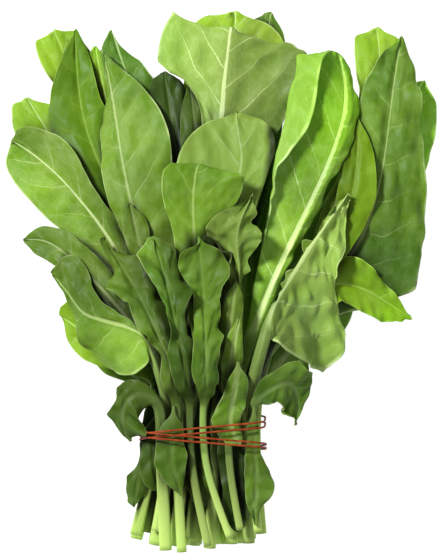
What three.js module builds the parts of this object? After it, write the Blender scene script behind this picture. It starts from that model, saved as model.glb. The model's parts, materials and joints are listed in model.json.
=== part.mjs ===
// A bunch of broad-leaved spinach, cut and tied with two thin rubber bands, lying on a table.
// Millimetres. +X is to the right across the bunch, +Y runs from the cut stalks to the leaf tips and
// +Z is up. Each leaf is one closed solid: its cut stalk, its midrib and its blade grew as one piece.
// The leaves are listed in the order in which they lie, from the table up, and each one settles on
// those below it, so that no two of them cross.

import * as THREE from 'three';

// Driving dimensions.

const BLADE_THICKNESS = 0.7;
const STALK_HALF_WIDTH = 3.1;
const STALK_RISE = 1.9; // from the stalk's axis up to its shallow channel
const STALK_DROP = 2.4; // from the stalk's axis down to its round back
const KEEL_DEPTH = 1.8; // how far the midrib stands out under the foot of a blade
const TIP_HALF_WIDTH = 0.9;
const LAST_ROW = 0.985; // the last cross-section's share of the way along the blade

const TIE_ROWS = [5, 6, 7, 7, 7, 6, 6]; // stalks side by side in the tie, from the table up
const STALK_PITCH = 7.8;
const ROW_PITCH = 5.4;
const LOWEST_ROW_HEIGHT = 7.5;
const ROW_SHIFT = 0.25 * STALK_PITCH; // every other row stands this far to the other side
const STALK_JITTER = 1;
const TIE_HALF_LENGTH = 12; // the stalks run straight and level through the tie for this far
const TIE_HALF_WIDTH = 32;
const TIE_SLACK = 0.5; // beyond the tie the stalks start to give way

const STALK_LENGTH_BELOW = 54; // from the middle of the tie to the cut ends
const STALK_SPREAD = 1.2; // how much wider the cut ends stand than the tie
const STALK_SAG = LOWEST_ROW_HEIGHT - STALK_DROP; // how much lower the cut ends lie than the tie
const CUT_SHIFT = -3; // the cut ends stand a little to the left of the tie
const CUT_JITTER = { across: 3, along: 8 };
const CUT_BOW = 0.006; // the stalks at the sides are cut shorter, by this times the square of x

const CLEARANCE = 0.55; // upright gap between a leaf and what it lies on
const CAUGHT_LAYER = 4.4; // room under the top row of stalks for the leaf ends that are caught there

const FAN_LENGTH = 60; // from the middle of the tie to where the rows stand furthest apart
const FAN_FLOOR = 1.2; // height of the lowest row there
const FAN_RISE = 1.6; // how much further apart the rows stand there
const FAN_REACH = 110; // from the middle of the bunch to its sides, and half way to its tips
const SIDE_DROOP = 0.8;
const TIP_DROOP = 0.55;
const CAUGHT_STALK = 0.3; // how thick the stalk is on a leaf end that is caught in the tie

const BAND_RADIUS = 0.6;
const BAND_GAP = 0.8;
const BAND_STEPS = 64; // round both turns
const BAND_SIDES = 5;
const BAND_BEND = 0.93; // at 1 a band would run straight from side to side and turn sharply there
const BAND_LEAD = 0.25; // radians by which its turns cross before the middle of the left side
// Name, how far up the stalks from the middle of the tie, and how far its turns stand to either side.
const BANDS = [['rubber_band_upper', 0.8, 7.5], ['rubber_band_lower', -1.6, 7]];

const SETTLE_CORE = 8; // a leaf lifts as one piece within this far of a touch
const SETTLE_REACH = 24; // and not at all beyond this
const SETTLE_PASSES = 40;
const SETTLE_MARGIN = 1.03; // it lifts by this much more than it is short of
const LEAST_SHORT = 0.01;
const STIFF_LENGTH = 28; // a stalk gives way more and more over this length beyond the tie
const LEAST_EASE = 0.002;
const LEAST_AREA = 1e-3; // a face that covers less than this, seen from above, stands upright

// Where each of the seeded random draws starts.
const SEEDS = { tie: 11, stalk: 40, tied: 100, caught: 300, bed: 700 };

const COLOURS = {
  leaf_bright: { color: 0x8fc63a, roughness: 0.5 },
  leaf_green: { color: 0x6aa32c, roughness: 0.5 },
  leaf_deep: { color: 0x3f7a22, roughness: 0.55 },
  rubber_band: { color: 0xa8381c, roughness: 0.6 },
};

// Small helpers.

const clamp = (x, low, high) => Math.min(high, Math.max(low, x));
const mix = (a, b, t) => a + (b - a) * t;
const degrees = (angle) => (angle * Math.PI) / 180;

function smoothStep(low, high, x) {
  const t = clamp((x - low) / (high - low), 0, 1);
  return t * t * (3 - 2 * t);
}

function randomSource(seed) {
  let state = seed;
  return () => {
    state = (state + 0x6d2b79f5) | 0;
    let bits = Math.imul(state ^ (state >>> 15), 1 | state);
    bits = (bits + Math.imul(bits ^ (bits >>> 7), 61 | bits)) ^ bits;
    return ((bits ^ (bits >>> 14)) >>> 0) / 4294967296;
  };
}

const CURVE_STEPS = 40; // between two points of a curve, for its length

function smoothCurve(points) {
  const curve = new THREE.CatmullRomCurve3(points, false, 'centripetal');
  curve.arcLengthDivisions = CURVE_STEPS * (points.length - 1);
  return curve;
}

// One leaf.

// A leaf is drawn out from cross-sections. columns: where the points of one stand, from the left margin
// at -1 over the midrib at 0 to the right margin at 1. crease: where a side may turn over.
const WIDE = { columns: [-1, -0.64, -0.3, 0, 0.3, 0.64, 1], crease: 0.64, bladeRows: 10 };
const NARROW = { columns: [-1, -0.55, 0, 0.55, 1], crease: 0.55, bladeRows: 8 };
const STALK_ROW_STEP = 22;
const ROW_CROWDING = 1.3; // above 1 the cross-sections stand closer together towards the tip
const BLADE_START = 0.22; // by this share of the blade the stalk has thinned out into it
const STALK_ROUNDNESS = 0.88; // 1 gives the stalk sharp sides
const KEEL_FADE = 0.85; // the share of the midrib's depth that is lost by the tip
const USUAL_WAVE = [2, 2.5]; // height and count of a margin's ruffles
const ROLL = { height: 0.4, count: 0.6, lean: 2 }; // the blade's slow wave, beside its ruffles
const FLAT_FOOT = 0.25; // the waves grow to their height over this share of the blade
const FLAT_TIP = 0.25; // and fade over this share
const FULL_RUFFLE_WIDTH = 12; // from the midrib to the margin; a narrower blade waves less

// Cross-sections along the stalk and up the blade. share is how far up the blade each one is.
function crossSections(path, bladePoint, straightPoints, bladeRows) {
  const lengths = path.getLengths();
  const pointLength = (point) => lengths[CURVE_STEPS * point];
  const total = lengths[lengths.length - 1];
  const rows = [];
  let from = 0;
  for (const point of [...straightPoints, bladePoint]) {
    const to = pointLength(point);
    const steps = Math.max(1, Math.round((to - from) / STALK_ROW_STEP));
    for (let i = 0; i < steps; i++) rows.push({ length: mix(from, to, i / steps), share: -1 });
    from = to;
  }
  for (let i = 0; i <= bladeRows; i++) {
    const share = LAST_ROW * (1 - (1 - i / bladeRows) ** ROW_CROWDING);
    rows.push({ length: mix(from, total, share), share });
  }
  return rows.map((row) => ({ ...row, at: Math.min(path.getUtoTmapping(0, row.length), 1) }));
}

const levelAcross = (tangent) => new THREE.Vector3(tangent.y, -tangent.x, 0).normalize();

// A margin or crease, as a curve whose height is counted from the midrib.
function sideCurve(points, foot, tip) {
  const start = new THREE.Vector3(foot.x, foot.y, 0);
  const end = new THREE.Vector3(tip.x, tip.y, 0);
  const between = points.map(([x, y, rise = 0]) => new THREE.Vector3(x, y, rise));
  return smoothCurve([start, ...between, end]);
}

// The margins and creases of a leaf, left and right as seen from above, looking to its tip.
function leafSides(spec, foot, footAcross, tip, stalkWidth, creaseAt) {
  const sides = {};
  for (const [name, sign] of [['left', -1], ['right', 1]]) {
    const start = (out) => foot.clone().addScaledVector(footAcross, sign * stalkWidth * out);
    const creasePoints = spec[`${name}Crease`];
    sides[name] = {
      sign,
      margin: sideCurve(spec[name], start(1), tip),
      crease: creasePoints && sideCurve(creasePoints, start(creaseAt), tip),
    };
  }
  return sides;
}

// How far the blade stands above its even height at a point: the ruffles are highest at the margin, and
// a long slow wave runs through the whole blade.
function ruffling(spec) {
  const random = randomSource(spec.seed);
  const [left, right, slow] = [random(), random(), random()].map((x) => x * 2 * Math.PI);
  const [height, count] = spec.wave ?? USUAL_WAVE;
  return (c, share) => {
    const turns = 2 * Math.PI * count * share;
    const ruffle = c * c * Math.sin(turns + (c < 0 ? left : right));
    const roll = ROLL.height * Math.abs(c) * Math.sin(ROLL.count * turns + slow + ROLL.lean * c);
    return height * (ruffle + roll);
  };
}

// The leaf as a sheet without thickness: rows of points from the cut end to the tip, and in each row
// from the leaf's own left margin to its right margin.
function leafSheet(spec, points, bladePoint, straightPoints) {
  const grid = spec.small ? NARROW : WIDE;
  const path = smoothCurve(points);
  const rows = crossSections(path, bladePoint, straightPoints, grid.bladeRows);
  const stalkWidth = STALK_HALF_WIDTH * (spec.stalk ?? 1);
  const footAcross = levelAcross(path.getTangent(rows.find((row) => row.share >= 0).at));
  const [foot, tip] = [points[bladePoint], points[points.length - 1]];
  const sides = leafSides(spec, foot, footAcross, tip, stalkWidth, grid.crease);
  const [first, second] = spec.under ? ['right', 'left'] : ['left', 'right'];
  const ruffle = ruffling(spec);
  return rows.map((row) => {
    const centre = path.getPoint(row.at);
    const across = levelAcross(path.getTangent(row.at));
    const sheet = grid.columns.map((c) => {
      const side = sides[c < 0 ? first : second];
      const out = Math.abs(c);
      if (row.share < 0) return centre.clone().addScaledVector(across, side.sign * out * stalkWidth);
      const onSide = (curve) => {
        const p = curve.getPointAt(row.share);
        p.z += centre.z;
        return p;
      };
      const margin = onSide(side.margin);
      const wide = Math.hypot(margin.x - centre.x, margin.y - centre.y);
      if (wide < TIP_HALF_WIDTH) margin.copy(centre).addScaledVector(across, side.sign * TIP_HALF_WIDTH);
      const p = centre.clone();
      if (!side.crease) p.lerp(margin, out);
      else if (out <= grid.crease) p.lerp(onSide(side.crease), out / grid.crease);
      else p.copy(onSide(side.crease)).lerp(margin, (out - grid.crease) / (1 - grid.crease));
      const fromTip = Math.min(1, (1 - row.share) / FLAT_TIP);
      const fromEnds = smoothStep(0, FLAT_FOOT, row.share) * fromTip;
      p.z += ruffle(c, row.share) * fromEnds * Math.min(1, wide / FULL_RUFFLE_WIDTH);
      return p;
    });
    return { sheet, share: row.share };
  });
}

// Gives the sheet its thickness: closed rings of points, each across the upper side from left to right
// and back across the underside.
function leafRings(spec, rows) {
  const scale = spec.stalk ?? 1;
  const columns = rows[0].sheet.length;
  const at = (i, j) => rows[clamp(i, 0, rows.length - 1)].sheet[clamp(j, 0, columns - 1)];
  const half = (columns - 1) / 2;
  return rows.map((row, i) => {
    const blade = smoothStep(0, BLADE_START, row.share);
    const keel = KEEL_DEPTH * scale * (1 - KEEL_FADE * Math.max(row.share, 0));
    const upper = [];
    const lower = [];
    row.sheet.forEach((p, j) => {
      const acrossStep = at(i, j + 1).clone().sub(at(i, j - 1));
      const alongStep = at(i + 1, j).clone().sub(at(i - 1, j));
      const away = new THREE.Vector3().crossVectors(acrossStep, alongStep).normalize();
      const c = (j - half) / half;
      const round = scale * Math.sqrt(1 - STALK_ROUNDNESS * c * c);
      const rise = mix(STALK_RISE * round, BLADE_THICKNESS / 2, blade);
      const drop = mix(STALK_DROP * round, BLADE_THICKNESS / 2 + (j === half ? keel : 0), blade);
      upper.push(p.clone().addScaledVector(away, rise));
      lower.push(p.clone().addScaledVector(away, -drop));
    });
    return [...upper, ...lower.reverse()];
  });
}

// Triangles of the closed skin. The upper side and the underside are split alike.
function skinTriangles(ringCount, ringSize) {
  const columns = ringSize / 2;
  const at = (ring, k) => ring * ringSize + ((k + ringSize) % ringSize);
  const triangles = [];
  for (let ring = 0; ring < ringCount - 1; ring++) {
    for (let k = 0; k < ringSize; k++) {
      const [a, b, c, d] = [at(ring, k), at(ring, k + 1), at(ring + 1, k + 1), at(ring + 1, k)];
      if (k < columns - 1) triangles.push([a, b, c], [a, c, d]);
      else triangles.push([a, b, d], [b, c, d]);
    }
  }
  const last = ringCount - 1;
  for (let k = 1; k < ringSize - 1; k++) {
    triangles.push([at(0, 0), at(0, k + 1), at(0, k)]);
    triangles.push([at(last, 0), at(last, k), at(last, k + 1)]);
  }
  return triangles;
}

// What would reach below the table is pressed flat on it.
function pressFlat(rings) {
  for (const ring of rings) {
    for (let k = 0; k < ring.length / 2; k++) {
      const twin = ring[ring.length - 1 - k];
      const lift = Math.max(0, -ring[k].z, -twin.z);
      ring[k].z += lift;
      twin.z += lift;
    }
  }
}

// Laying the leaves on each other.

// The leaves that are laid down already, as their upward faces, found by where they lie on the table.
const CELL = 8;
const CELL_ROW = 4096;

class Pile {
  constructor() {
    this.cells = new Map();
  }

  * cellsUnder(triangle) {
    const [xs, ys] = [triangle.map((p) => p.x), triangle.map((p) => p.y)];
    for (let i = Math.floor(Math.min(...xs) / CELL); i <= Math.floor(Math.max(...xs) / CELL); i++) {
      for (let j = Math.floor(Math.min(...ys) / CELL); j <= Math.floor(Math.max(...ys) / CELL); j++) {
        yield i * CELL_ROW + j;
      }
    }
  }

  add(triangle) {
    for (const key of this.cellsUnder(triangle)) {
      if (!this.cells.has(key)) this.cells.set(key, []);
      this.cells.get(key).push(triangle);
    }
  }

  under(triangle) {
    const found = new Set();
    for (const key of this.cellsUnder(triangle)) {
      for (const other of this.cells.get(key) ?? []) found.add(other);
    }
    return found;
  }
}

const flatArea = (a, b, c) => (b.x - a.x) * (c.y - a.y) - (c.x - a.x) * (b.y - a.y);

// The part of the upper triangle that is over the lower one, seen from above.
function overlapFrom(upper, lower) {
  let shape = upper;
  for (let i = 0; i < 3 && shape.length; i++) {
    const [a, b] = [lower[i], lower[(i + 1) % 3]];
    const kept = [];
    shape.forEach((p, k) => {
      const q = shape[(k + 1) % shape.length];
      const [dp, dq] = [flatArea(a, b, p), flatArea(a, b, q)];
      if (dp >= 0) kept.push(p);
      if (dp >= 0 !== dq >= 0) {
        const f = dp / (dp - dq);
        kept.push({ x: mix(p.x, q.x, f), y: mix(p.y, q.y, f), z: mix(p.z, q.z, f) });
      }
    });
    shape = kept;
  }
  return shape;
}

// The value at p of what has the given values at the triangle's corners.
function spread([a, b, c], [u, v, w], p) {
  const area = flatArea(a, b, c);
  return (u * flatArea(b, c, p) + v * flatArea(c, a, p) + w * flatArea(a, b, p)) / area;
}

const heightOn = (triangle, p) => spread(triangle, triangle.map((corner) => corner.z), p);

// Where the leaf would come too near to what lies below it, and how far it has to lift there.
// ease holds how freely each of its points may lift.
function touches(points, triangles, pile, ease) {
  const found = [];
  for (const [i, j, k] of triangles) {
    const face = [points[i], points[k], points[j]];
    if (flatArea(...face) < LEAST_AREA) continue;
    for (const other of pile.under(face)) {
      let worst = null;
      for (const p of overlapFrom(face, other)) {
        const short = heightOn(other, p) + CLEARANCE - p.z;
        if (short < (worst?.short ?? LEAST_SHORT)) continue;
        const easeHere = spread(face, [ease[i], ease[k], ease[j]], p);
        worst = { x: p.x, y: p.y, short, ease: Math.max(LEAST_EASE, easeHere) };
      }
      if (worst) found.push(worst);
    }
  }
  return found;
}

// Lifts the leaf, most of all where it touches, until it clears what it lies on.
function settle(points, triangles, pile, liftable) {
  const ease = points.map(liftable);
  for (let pass = 0; pass < SETTLE_PASSES; pass++) {
    const found = touches(points, triangles, pile, ease);
    if (!found.length) return;
    points.forEach((p, index) => {
      const lifts = found.map((touch) => {
        const away = Math.hypot(p.x - touch.x, p.y - touch.y);
        if (away >= SETTLE_REACH) return 0;
        const share = Math.min(1, ease[index] / touch.ease);
        return touch.short * share * (1 - smoothStep(SETTLE_CORE, SETTLE_REACH, away));
      });
      p.z += SETTLE_MARGIN * Math.max(...lifts);
    });
  }
}

// The leaves, from the table up.
// rib: the midrib from the foot of the blade to its tip, each point as [x, y] or as [x, y, height over
// the fan's own height there]. left and right: the margins, seen from above by one who looks along the
// leaf to its tip, each point as [x, y] or as [x, y, height over the midrib]. leftCrease: where the left
// side turns over before it reaches its margin. under: the underside faces up. wave: [height, count] of
// the margin's ruffles. small: it has fewer cross-sections. stalk: how thick the stalk is beside the
// usual one. tie: where across the tie the stalk stands. foot: where its cut end lies.

// The leaves that the bunch lies on fan out flat: direction in degrees from +Y, length and half-width.
const BED_START = 28; // how far to the side of the middle the outermost of them start
const BED_RIB = [[0.35, 0], [0.6, 0.1], [0.8, 0], [1, -0.1]]; // shares of the length and the half-width
const BED_MARGIN = [[0.45, 0.55], [0.62, 0.95], [0.78, 1], [0.93, 0.7]];
const BED_WAVE = 1.6;
const BED_UNDER_EVERY = 3; // the underside of every third one faces up
const BED = [
  [-42, 52, 12], [50, 40, 9], [-30, 84, 16], [32, 124, 22], [12, 90, 22],
  [-26, 118, 20], [20, 158, 22], [-14, 168, 22], [3, 180, 24], [-38, 60, 12], [40, 84, 15],
];

function bedLeaf([direction, length, width], index) {
  const random = randomSource(SEEDS.bed + index);
  const angle = degrees(direction);
  const place = (share, side) => [
    Math.sin(angle) * (BED_START + length * share) + Math.cos(angle) * width * side,
    TIE_HALF_LENGTH + Math.cos(angle) * length * share - Math.sin(angle) * width * side,
  ];
  const margin = (side) => BED_MARGIN.map(([share, out]) => place(share, side * out));
  return {
    name: `under_leaf_${index + 1}`,
    rib: BED_RIB.map(([share, side]) => place(share, side)),
    left: margin(-1),
    right: margin(1),
    wave: [BED_WAVE, 1.5 + random()],
    under: index % BED_UNDER_EVERY === 1,
    small: true,
    tone: index % 2 ? 'leaf_deep' : 'leaf_green',
  };
}

const LAID_LEAVES = [
  { name: 'pale_left_tip_leaf', tone: 'leaf_bright', small: true,
    rib: [[-24, 60], [-52, 105], [-72, 140], [-90, 169]],
    left: [[-56, 88], [-84, 126], [-97, 156], [-96, 171]],
    right: [[-38, 110], [-58, 150], [-74, 163], [-81, 167]] },
  { name: 'left_flap_leaf', tone: 'leaf_bright', small: true,
    rib: [[-20, 80], [-45, 130], [-60, 165], [-76, 203]],
    left: [[-44, 115], [-66, 160], [-86, 192], [-84, 201]],
    right: [[-32, 130], [-44, 165], [-56, 190], [-65, 204]] },
  { name: 'dark_left_back_leaf', tone: 'leaf_deep', small: true,
    rib: [[-10, 90], [-24, 140], [-36, 172], [-47, 204]],
    left: [[-30, 125], [-44, 165], [-53, 196]],
    right: [[-6, 125], [-14, 155], [-25, 181], [-39, 190]] },
  { name: 'back_tip_leaf', tone: 'leaf_deep', small: true,
    rib: [[8, 60], [20, 120], [28, 175], [34, 213]],
    left: [[2, 110], [14, 170], [22, 207]],
    right: [[30, 110], [41, 170], [40, 207]] },
  { name: 'top_back_leaf', tone: 'leaf_bright',
    rib: [[3, 60], [8, 120], [14, 175], [16, 213]],
    left: [[-12, 105], [-11, 165], [-5, 207]],
    right: [[24, 105], [39, 160], [43, 190], [36, 204]] },
  { name: 'far_right_back_leaf', tone: 'leaf_green', small: true,
    rib: [[30, 60], [68, 112], [98, 148], [111, 178]],
    left: [[48, 100], [84, 148], [103, 178]],
    right: [[74, 96], [110, 126], [118, 160], [117, 174]] },
  { name: 'left_sliver_leaf', tone: 'leaf_bright', small: true,
    rib: [[-16, 90], [-40, 140], [-51, 175], [-55, 195]],
    left: [[-42, 125], [-60, 170], [-60, 195]],
    right: [[-28, 135], [-42, 165], [-49, 191]] },
  { name: 'upper_left_leaf', tone: 'leaf_green',
    rib: [[-24, 80], [-48, 125], [-60, 155], [-64, 182], [-65, 205]],
    left: [[-50, 108], [-76, 140], [-77, 165], [-71, 192]],
    right: [[-32, 112], [-42, 145], [-52, 169], [-59, 191]] },
  { name: 'inner_dark_leaf', tone: 'leaf_deep', small: true,
    rib: [[-4, 90], [-12, 130], [-17, 160], [-20, 182]],
    left: [[-18, 120], [-24, 150], [-27, 178]],
    right: [[2, 125], [-6, 150], [-9, 172], [-14, 181]] },
  { name: 'inner_narrow_leaf', tone: 'leaf_green', small: true,
    rib: [[-2, 80], [-3, 130], [-5, 160], [-8, 178]],
    left: [[-10, 125], [-12, 150], [-10, 174]],
    right: [[5, 125], [0, 156], [-5, 174]] },
  { name: 'top_centre_leaf', tone: 'leaf_green', under: true,
    rib: [[4, 110], [8.5, 158], [11, 182, 4], [13.5, 203, 10], [14, 204.5, 2], [13, 197, -4]],
    left: [[-2, 140], [0, 162], [-6, 175], [-24, 184], [-23, 198], [-18, 212], [-12, 208, -3], [0, 200, -2]],
    right: [[20, 135], [37, 155], [44, 178], [48, 190], [46, 197], [40, 195, -3], [26, 196, -2]],
    wave: [2, 2] },
  { name: 'far_right_flap_leaf', tone: 'leaf_bright', small: true,
    rib: [[44, 60], [68, 110], [83, 158], [89, 182], [87, 205]],
    left: [[56, 104], [72, 140], [78, 164], [81, 178], [73, 189], [78, 203]],
    right: [[74, 100], [92, 150], [102, 185], [97, 202]] },
  { name: 'far_right_leaf', tone: 'leaf_deep',
    rib: [[40, 54], [73, 88], [86, 117], [92, 150], [96, 180], [100, 202]],
    left: [[58, 82], [74, 112], [76, 145], [81, 174], [92, 193]],
    right: [[66, 58], [94, 65], [106, 60], [106, 84], [114, 116], [108, 150], [108, 176]],
    wave: [2.5, 3] },
  { name: 'right_skirt_leaf', tone: 'leaf_bright', small: true,
    rib: [[36, 54], [60, 74], [78, 73], [92, 65], [105, 57]],
    left: [[48, 72], [66, 88], [82, 86], [93, 73], [104, 61]],
    right: [[54, 60], [67, 67], [73, 63], [84, 61], [92, 55], [100, 54]] },

  { name: 'left_low_bright_leaf', tone: 'leaf_bright', small: true,
    rib: [[-22, 28], [-38, 36], [-56, 47], [-72, 59]],
    left: [[-34, 28], [-50, 33], [-62, 38], [-70, 48]],
    right: [[-30, 48], [-50, 62], [-66, 69], [-73, 65]] },
  { name: 'left_leaf', tone: 'leaf_green',
    rib: [[-28, 56], [-47, 97], [-62, 117], [-74, 130], [-86, 140], [-97, 147]],
    left: [[-42, 76], [-60, 94], [-78, 108], [-92, 122], [-100, 136]],
    right: [[-36, 100], [-54, 118], [-59, 136], [-72, 147], [-86, 154], [-95, 154]] },
  { name: 'upper_left_front_leaf', tone: 'leaf_green',
    rib: [[-18, 56], [-30, 90], [-37, 115], [-42, 138], [-45, 160], [-48, 178], [-52, 194]],
    left: [[-32, 84, -2], [-46, 110, -4], [-52, 137, -4], [-49, 160, -3], [-50, 180]],
    right: [[-10, 80], [-10, 106], [-15, 132], [-18, 154], [-27, 169], [-40, 181]],
    wave: [1.5, 2] },
  { name: 'small_left_leaf', tone: 'leaf_green', small: true,
    rib: [[-20, 60], [-30, 88], [-34, 102], [-37, 116]],
    left: [[-28, 76], [-40, 96], [-40, 110]],
    right: [[-20, 82], [-27, 97], [-29, 109]] },
  { name: 'inner_right_leaf', tone: 'leaf_bright', small: true,
    rib: [[34, 50], [58, 84], [72, 112], [77, 140], [77, 161]],
    left: [[44, 72], [60, 98], [67, 120], [70, 146]],
    right: [[50, 62], [68, 84], [80, 100], [87, 122], [83, 150]] },
  { name: 'centre_back_leaf', tone: 'leaf_bright', under: true,
    rib: [[6, 70], [12, 100], [17, 122], [20, 135], [17, 150], [16, 161]],
    left: [[-6, 86], [-14, 112], [-15, 134], [-10, 147], [3, 157]],
    right: [[18, 86], [26, 116], [33, 132], [37, 145], [31, 157]],
    wave: [1.5, 2] },
  { name: 'right_centre_leaf', tone: 'leaf_green',
    rib: [[24, 50], [40, 88], [53, 113], [62, 130], [70, 150], [73.5, 166], [67, 193]],
    left: [[27, 78], [32, 105, 3], [37, 136, 6], [51, 149, 9], [57, 168, 10], [59, 187, 6]],
    leftCrease: [[24, 78], [30, 105], [33, 128], [33, 145], [36, 165], [40, 190]],
    right: [[42, 84, -2], [56, 110, -4], [67, 134, -5], [76, 148, -6], [77, 166, -5], [73, 184, -3]],
    wave: [1.2, 2] },

  { name: 'left_low_tip_leaf', tone: 'leaf_green',
    rib: [[-22, 36], [-42, 62], [-62, 83], [-78, 96], [-91, 97]],
    left: [[-34, 42], [-54, 62], [-70, 81], [-84, 89], [-90, 93]],
    right: [[-34, 64], [-52, 88], [-66, 99], [-80, 104], [-89, 101]] },
  { name: 'left_drooping_leaf', tone: 'leaf_green',
    rib: [[-27, 46], [-36, 53, 1], [-50, 57], [-61, 60, -2], [-68, 70, -4], [-76, 80, -4]],
    left: [[-24, 40, 4], [-27, 32, 4], [-36, 28, 1], [-46, 30, -4], [-53, 38, -4], [-61, 47, -3],
      [-64, 58, -2], [-73, 74]],
    right: [[-29, 51], [-36, 57, 2], [-45, 62, 3], [-54, 73], [-61, 87, -2], [-71, 88, -2]],
    wave: [1.5, 2] },
  { name: 'centre_front_leaf', tone: 'leaf_green',
    rib: [[-2, 48], [-4, 78], [-5, 100], [-6, 118, 3], [-3, 135, 4], [-2, 132, -4]],
    left: [[-10, 68], [-14, 96], [-21, 118], [-18, 136], [-12, 133, -2]],
    right: [[5, 76], [5, 100], [16, 113], [20, 130], [10, 130, -2]],
    wave: [1.5, 2] },
  { name: 'crumpled_centre_leaf', tone: 'leaf_green', under: true,
    rib: [[9, 30], [15, 58], [18, 80], [16, 99], [25, 121]],
    left: [[6, 50], [13, 76, 2], [11, 92, -2], [0, 100, 3], [7, 108, 1], [16, 114]],
    right: [[18, 50], [21, 80, -2], [28, 96, 2], [28, 102, 2], [23, 104, -2], [26, 115]],
    wave: [3, 3] },
  { name: 'centre_strip_leaf', tone: 'leaf_green', small: true, stalk: 0.8,
    rib: [[10, 23], [11, 38], [13, 56], [16, 77]],
    left: [[5, 27], [6, 42], [8, 62], [11, 74]],
    right: [[14, 27], [18, 42], [20, 62], [19, 74]] },
  { name: 'crumpled_right_leaf', tone: 'leaf_green', under: true,
    rib: [[33, 58], [41, 76], [50, 91], [60, 104], [73, 121]],
    left: [[35, 66, -1], [43, 82, -3], [53, 97, -3], [65, 111, -2], [70, 118, -2]],
    right: [[38, 59], [32, 46], [38, 37], [46, 38, -3], [58, 31, -3], [71, 46, -5], [69, 60, -3], [65, 76],
      [70, 94], [73, 112]],
    wave: [3, 3] },

  { name: 'left_sprig_leaf', tone: 'leaf_green', small: true, tie: -21, foot: [-19, -58],
    rib: [[-24, 17], [-32, 21], [-39, 16], [-41, 7, -2], [-37, -4, -6]],
    left: [[-27, 15], [-33, 16], [-35.5, 8], [-35, 1]],
    right: [[-26, 24], [-34, 28], [-44, 27], [-43, 16], [-48, 12], [-46, 6], [-41, -1]],
    wave: [2.5, 3] },
  { name: 'mid_left_low_leaf', tone: 'leaf_green', stalk: 0.8, tie: -13.5, foot: [-11, -59],
    rib: [[-13.5, 16], [-16, 32, -6], [-26, 56, -13], [-37, 77, -13], [-50, 98, -13]],
    left: [[-20, 19], [-21, 30], [-19, 42], [-33, 49], [-34, 60], [-46, 69], [-44, 79], [-52, 92]],
    right: [[-8, 19], [-9, 32], [-18, 58], [-25, 78], [-34, 85], [-45, 92]],
    wave: [2.5, 3] },
  { name: 'mid_left_leaf', tone: 'leaf_deep', stalk: 0.65, tie: -7, foot: [2, -56],
    rib: [[-7, 16], [-9, 32, -6], [-14, 55, -13], [-19, 76, -13], [-25, 98, -13]],
    left: [[-12, 19], [-15, 34], [-21, 58], [-23, 74], [-32, 86], [-30, 94]],
    right: [[-2, 19], [-3, 34], [-8, 56], [-9, 70], [-14, 80], [-15, 93]],
    wave: [2.5, 2.5] },
  { name: 'centre_low_leaf', tone: 'leaf_deep', stalk: 0.6, tie: -0.5, foot: [13, -52],
    rib: [[0.5, 16], [1, 32, -6], [0, 60, -13], [-1, 80, -13], [-3, 99, -13]],
    left: [[-5, 19], [-6, 32], [-3, 56], [-7, 73], [-14, 81], [-10, 94]],
    right: [[6, 19], [7, 32], [7, 52], [9, 64], [10, 72], [15, 80], [5, 95]],
    wave: [2, 2] },
  { name: 'light_strip_leaf', tone: 'leaf_green', small: true, stalk: 0.6, tie: 12, foot: [18, -48],
    rib: [[12, 16], [13, 30], [15, 45], [18, 60]],
    left: [[9, 19], [9, 32], [12, 50]],
    right: [[16, 18], [18, 30], [20, 48]] },
  { name: 'right_low_leaf', tone: 'leaf_deep', small: true, stalk: 0.7, tie: 23, foot: [27, -49],
    rib: [[26, 17], [33, 22], [41, 27], [46, 20, -3], [45, 4, -8]],
    left: [[26, 28], [36, 32], [48, 37], [56, 31], [51, 18], [49, 9]],
    right: [[31, 14], [35, 15], [39, 15], [41, 10], [43, 6]],
    wave: [2, 2.5] },
];

// Leaf ends that hang over the stalks and are held under the bands: each runs from its end above the
// tie, down over the tie, to its tip. Heights here are over the table. These lie under the top row of
// stalks.
const CAUGHT_UNDER = [
  { name: 'caught_leaf_1', tone: 'leaf_deep', small: true,
    rib: [[-24, 22, 31], [-25, 19, 32], [-26, 8, 33], [-27, -3, 33], [-32, -18, 31], [-35, -38, 27]],
    left: [[-21, 14], [-21, 4], [-23, -5], [-27, -17], [-28, -29]],
    right: [[-30, 14], [-30.5, 4], [-30.5, -4], [-31, -11], [-37, -20, -3], [-38, -31, -3]] },
  { name: 'caught_leaf_2', tone: 'leaf_deep', small: true,
    rib: [[-23, 13, 38], [-23, 8, 38.5], [-25, 0, 38.5], [-25, -14, 36], [-22, -29, 31]],
    left: [[-18, 5], [-20, -2], [-20, -20], [-20, -27]],
    right: [[-29, 5], [-30.5, -3], [-31, -20], [-28, -27]] },
  { name: 'caught_leaf_3', tone: 'leaf_green', small: true,
    rib: [[-4, 13, 38.8], [-4, 8, 38.8], [-4, -2, 38.8], [-4, -20, 36], [-2, -37, 30]],
    left: [[1, 4], [1, -8], [4, -18], [3, -30]],
    right: [[-8, 4], [-8, -8], [-9, -24], [-6, -33]] },
  { name: 'caught_leaf_4', tone: 'leaf_deep', small: true,
    rib: [[14, 13, 38.8], [14, 8, 38.8], [14, -2, 38.8], [16, -24, 34], [17, -50, 24]],
    left: [[19, 4], [20, -8], [23, -26], [24, -42]],
    right: [[9, 4], [8, -8], [9, -28], [12, -42]] },
];

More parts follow.
